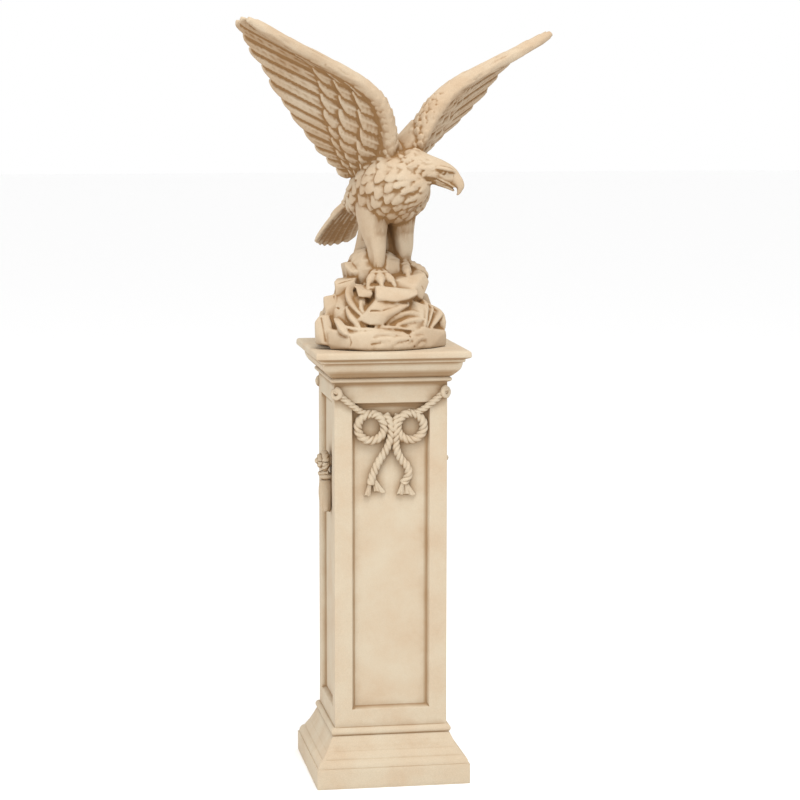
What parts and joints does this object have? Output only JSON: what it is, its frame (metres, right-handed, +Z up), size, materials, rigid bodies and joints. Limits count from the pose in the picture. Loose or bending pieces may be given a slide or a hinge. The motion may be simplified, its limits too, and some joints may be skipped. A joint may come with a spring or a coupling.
{
  "type": "eagle statue on column",
  "caption": "Cast-stone garden statue: an eagle with raised wings perched on broken rock, standing on a square panelled column with moulded cap and base and rope-bow ornament.",
  "frame": {"origin": "centre of the column's underside", "axes": "+Z up, -Y out of the face with the rope bow that the picture shows, +X to the right seen from that face"},
  "size_m": [0.8491, 0.5323, 1.8815],
  "materials": {
    "column_stone": "matt warm beige cast stone with a light brown wash in its hollows",
    "eagle_stone": "matt warm beige cast stone with a darker brown wash between the feathers"
  },
  "bodies": {
    "root": {"column": "column_stone", "eagle": "eagle_stone"}
  },
  "joints": []
}
